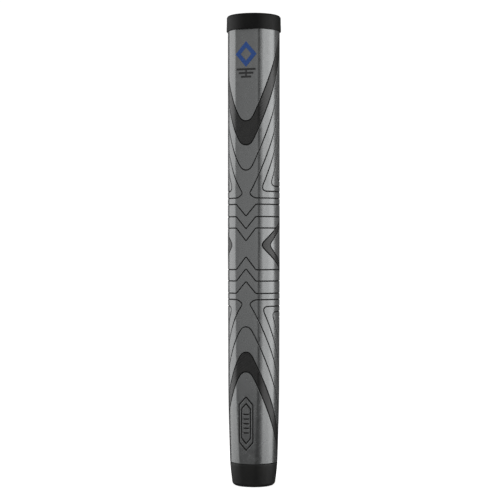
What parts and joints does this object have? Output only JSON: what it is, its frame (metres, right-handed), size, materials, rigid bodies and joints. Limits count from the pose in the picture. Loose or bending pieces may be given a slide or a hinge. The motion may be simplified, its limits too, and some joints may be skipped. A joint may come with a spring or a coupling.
{
  "type": "golf putter grip",
  "caption": "Soft straight putter grip with a flat front, a grooved wrap over a foam core, a rubber butt cap and a tip collar; slides onto a round shaft.",
  "frame": {"origin": "centre of the mouth of the shaft bore, on the tip collar's end face", "axes": "+Z along the shaft towards the butt cap; the flat front of the grip faces -Y; +X to the right as the front is looked at"},
  "size_m": [0.031, 0.031, 0.2667],
  "materials": {
    "foam": "closed-cell foam",
    "felt": "needle felt",
    "pearl_polymer": "satin pearl, grooved",
    "seam": "satin",
    "dark_polymer": "matte, finely hatched",
    "blue_film": "satin transfer",
    "black_film": "satin transfer",
    "black_rubber": "matte moulded"
  },
  "bodies": {
    "root": {"foam_core": "foam", "felt_backing": "felt", "polymer_skin": "pearl_polymer", "seam_bead": "seam", "upper_front_inlay": "dark_polymer", "lower_front_inlay": "dark_polymer", "right_side_inlay": "dark_polymer", "left_side_inlay": "dark_polymer", "front_emblem": "blue_film", "emblem_bars": "black_film", "tip_collar": "black_rubber", "butt_cap": "black_rubber"}
  },
  "joints": []
}
